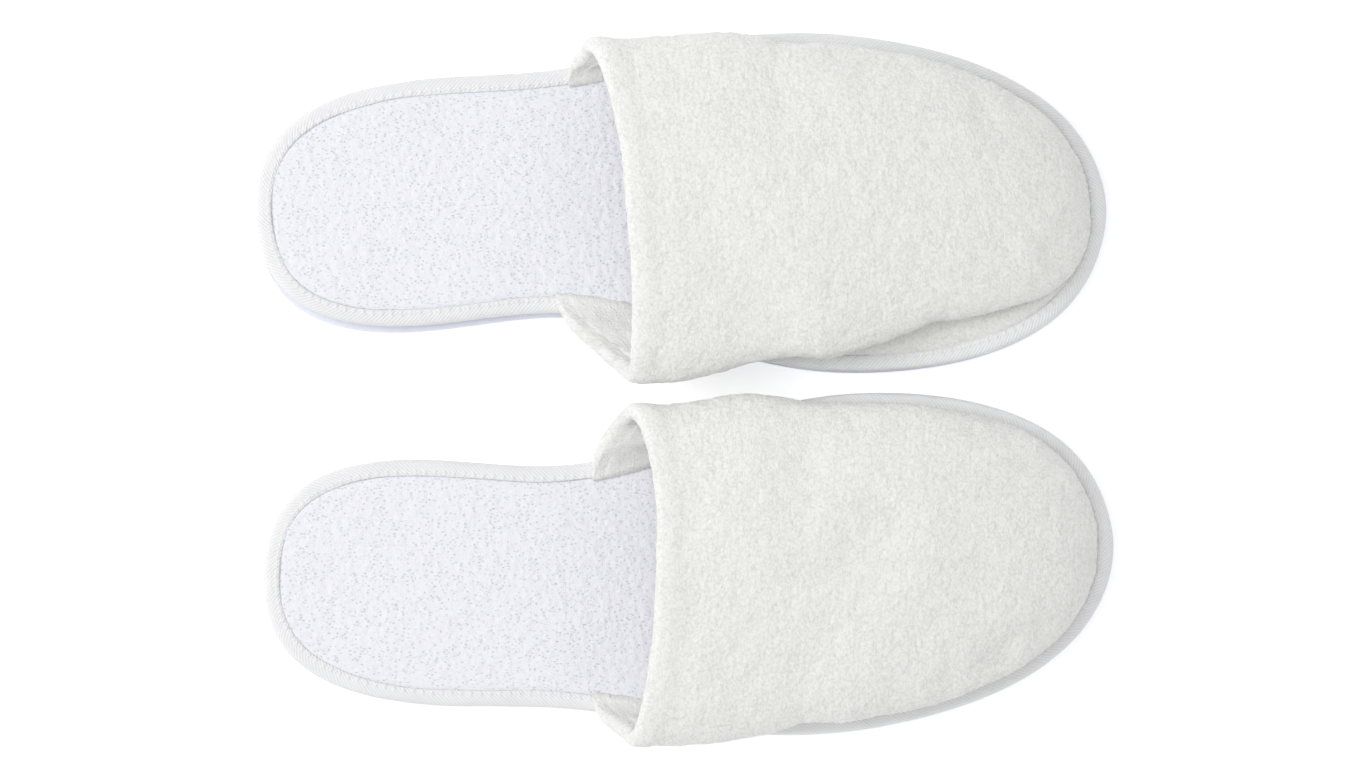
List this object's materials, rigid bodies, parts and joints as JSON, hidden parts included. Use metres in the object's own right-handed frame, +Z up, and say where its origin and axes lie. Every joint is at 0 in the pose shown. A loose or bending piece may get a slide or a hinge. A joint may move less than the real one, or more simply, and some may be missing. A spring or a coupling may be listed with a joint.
{
  "type": "spa slippers",
  "caption": "Closed-toe terry spa slippers with padded vamps, terry footbeds, bound and stitched edges and foam rubber outsoles, lying side by side.",
  "frame": {"origin": "on the floor, at the centre of the pair's plan", "axes": "+X towards the toes, +Y towards the left slipper, +Z up"},
  "size_m": [0.2882, 0.2384, 0.0474],
  "materials": {
    "eva_outsole": "fine matt foam",
    "base_cloth": "non-woven",
    "sole_foam": "open-cell foam",
    "footbed_terry": "looped terry",
    "binding_tape": "twill tape",
    "sewing_thread": "spun polyester thread",
    "vamp_terry": "plush terry",
    "vamp_foam": "open-cell foam",
    "vamp_lining": "fine knitted cloth"
  },
  "bodies": {
    "left_slipper": {"left_outsole": "eva_outsole", "left_base_cloth": "base_cloth", "left_sole_foam": "sole_foam", "left_footbed_terry": "footbed_terry", "left_edge_binding": "binding_tape", "left_edge_stitches": "sewing_thread", "left_vamp_terry": "vamp_terry", "left_vamp_foam": "vamp_foam", "left_vamp_lining": "vamp_lining"},
    "right_slipper": {"right_outsole": "eva_outsole", "right_base_cloth": "base_cloth", "right_sole_foam": "sole_foam", "right_footbed_terry": "footbed_terry", "right_edge_binding": "binding_tape", "right_edge_stitches": "sewing_thread", "right_vamp_terry": "vamp_terry", "right_vamp_foam": "vamp_foam", "right_vamp_lining": "vamp_lining"}
  },
  "joints": [
    {"name": "right_slipper_lift", "type": "slide", "parent": "left_slipper", "child": "right_slipper", "axis": [0, 0, 1], "range_m": [0, 0.25]}
  ]
}
